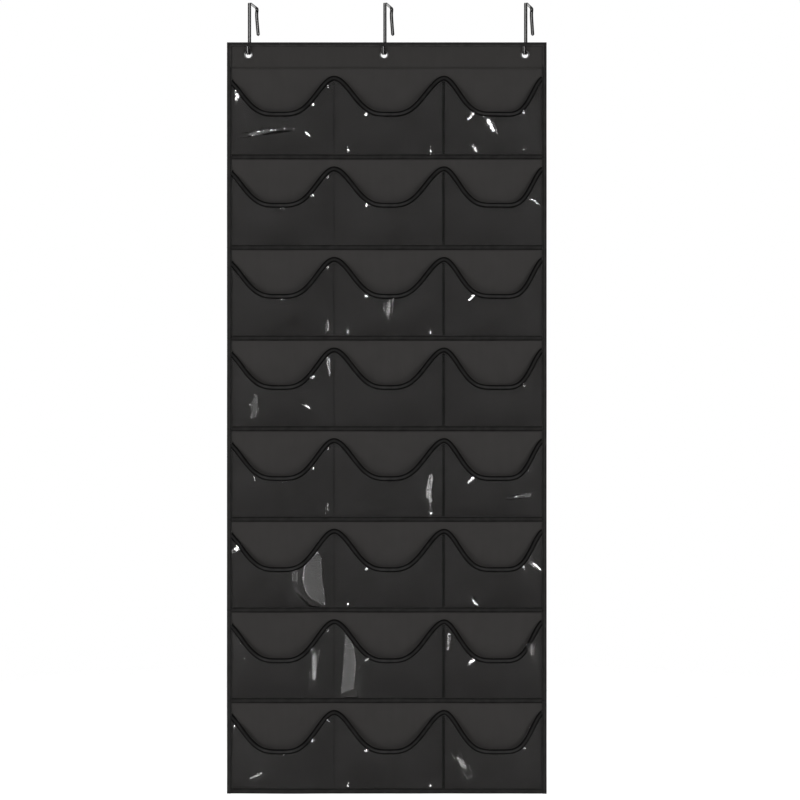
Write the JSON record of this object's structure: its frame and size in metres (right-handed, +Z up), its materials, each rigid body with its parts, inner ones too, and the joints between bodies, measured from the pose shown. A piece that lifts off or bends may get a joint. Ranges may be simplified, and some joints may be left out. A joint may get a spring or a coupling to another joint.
{
  "type": "over-the-door shoe organizer",
  "caption": "Hanging fabric panel with rows of clear film pockets for shoes, carried on a door by flat metal hooks through eyelets, folding between its rows.",
  "frame": {"origin": "middle of the flat underside of the middle hook's bridge, the face that rests on top of the door", "axes": "+Z up, -Y the front with the pockets, +X to the right as seen from the front"},
  "size_m": [0.6, 0.0786, 1.4865],
  "materials": {
    "panel_fabric": "matte",
    "binding_tape": "matte",
    "clear_film": "gloss",
    "eyelet_metal": "satin",
    "hook_steel": "gloss"
  },
  "bodies": {
    "header": {"header_panel": "panel_fabric", "header_facing": "panel_fabric", "header_binding": "binding_tape", "eyelet_left": "eyelet_metal", "eyelet_washer_left": "eyelet_metal", "eyelet_middle": "eyelet_metal", "eyelet_washer_middle": "eyelet_metal", "eyelet_right": "eyelet_metal", "eyelet_washer_right": "eyelet_metal"},
    "row_1": {"row_1_backing": "panel_fabric", "row_1_pocket_strip": "clear_film", "row_1_mouth_binding": "binding_tape", "row_1_left_binding": "binding_tape", "row_1_right_binding": "binding_tape", "row_1_hem_binding": "binding_tape"},
    "row_2": {"row_2_backing": "panel_fabric", "row_2_pocket_strip": "clear_film", "row_2_mouth_binding": "binding_tape", "row_2_left_binding": "binding_tape", "row_2_right_binding": "binding_tape", "row_2_hem_binding": "binding_tape"},
    "row_3": {"row_3_backing": "panel_fabric", "row_3_pocket_strip": "clear_film", "row_3_mouth_binding": "binding_tape", "row_3_left_binding": "binding_tape", "row_3_right_binding": "binding_tape", "row_3_hem_binding": "binding_tape"},
    "row_4": {"row_4_backing": "panel_fabric", "row_4_pocket_strip": "clear_film", "row_4_mouth_binding": "binding_tape", "row_4_left_binding": "binding_tape", "row_4_right_binding": "binding_tape", "row_4_hem_binding": "binding_tape"},
    "row_5": {"row_5_backing": "panel_fabric", "row_5_pocket_strip": "clear_film", "row_5_mouth_binding": "binding_tape", "row_5_left_binding": "binding_tape", "row_5_right_binding": "binding_tape", "row_5_hem_binding": "binding_tape"},
    "row_6": {"row_6_backing": "panel_fabric", "row_6_pocket_strip": "clear_film", "row_6_mouth_binding": "binding_tape", "row_6_left_binding": "binding_tape", "row_6_right_binding": "binding_tape", "row_6_hem_binding": "binding_tape"},
    "row_7": {"row_7_backing": "panel_fabric", "row_7_pocket_strip": "clear_film", "row_7_mouth_binding": "binding_tape", "row_7_left_binding": "binding_tape", "row_7_right_binding": "binding_tape", "row_7_hem_binding": "binding_tape"},
    "row_8": {"row_8_backing": "panel_fabric", "row_8_pocket_strip": "clear_film", "row_8_mouth_binding": "binding_tape", "row_8_left_binding": "binding_tape", "row_8_right_binding": "binding_tape", "row_8_hem_binding": "binding_tape"},
    "hook_left": {"hook_left": "hook_steel"},
    "hook_middle": {"hook_middle": "hook_steel"},
    "hook_right": {"hook_right": "hook_steel"}
  },
  "joints": [
    {"name": "fold_1", "type": "hinge", "parent": "header", "child": "row_1", "pos_m": [-0.00275, -0.02701, -0.129], "axis": [1, 0, 0], "range_deg": [-110, 110]},
    {"name": "fold_2", "type": "hinge", "parent": "row_1", "child": "row_2", "pos_m": [-0.00275, -0.02701, -0.299], "axis": [-1, 0, 0], "range_deg": [-110, 110]},
    {"name": "fold_3", "type": "hinge", "parent": "row_2", "child": "row_3", "pos_m": [-0.00275, -0.02701, -0.469], "axis": [1, 0, 0], "range_deg": [-110, 110]},
    {"name": "fold_4", "type": "hinge", "parent": "row_3", "child": "row_4", "pos_m": [-0.00275, -0.02701, -0.639], "axis": [-1, 0, 0], "range_deg": [-110, 110]},
    {"name": "fold_5", "type": "hinge", "parent": "row_4", "child": "row_5", "pos_m": [-0.00275, -0.02701, -0.809], "axis": [1, 0, 0], "range_deg": [-110, 110]},
    {"name": "fold_6", "type": "hinge", "parent": "row_5", "child": "row_6", "pos_m": [-0.00275, -0.02701, -0.979], "axis": [-1, 0, 0], "range_deg": [-110, 110]},
    {"name": "fold_7", "type": "hinge", "parent": "row_6", "child": "row_7", "pos_m": [-0.00275, -0.02701, -1.149], "axis": [1, 0, 0], "range_deg": [-110, 110]},
    {"name": "fold_8", "type": "hinge", "parent": "row_7", "child": "row_8", "pos_m": [-0.00275, -0.02701, -1.319], "axis": [-1, 0, 0], "range_deg": [-110, 110]},
    {"name": "swivel_left", "type": "hinge", "parent": "header", "child": "hook_left", "pos_m": [-0.26225, -0.02701, -0.099], "axis": [0, 0, 1], "range_deg": [-8, 34]},
    {"name": "swivel_middle", "type": "hinge", "parent": "header", "child": "hook_middle", "pos_m": [-0.00775, -0.02701, -0.099], "axis": [0, 0, 1], "range_deg": [-5, 37]},
    {"name": "swivel_right", "type": "hinge", "parent": "header", "child": "hook_right", "pos_m": [0.25676, -0.02701, -0.099], "axis": [0, 0, 1], "range_deg": [-2, 40]}
  ]
}
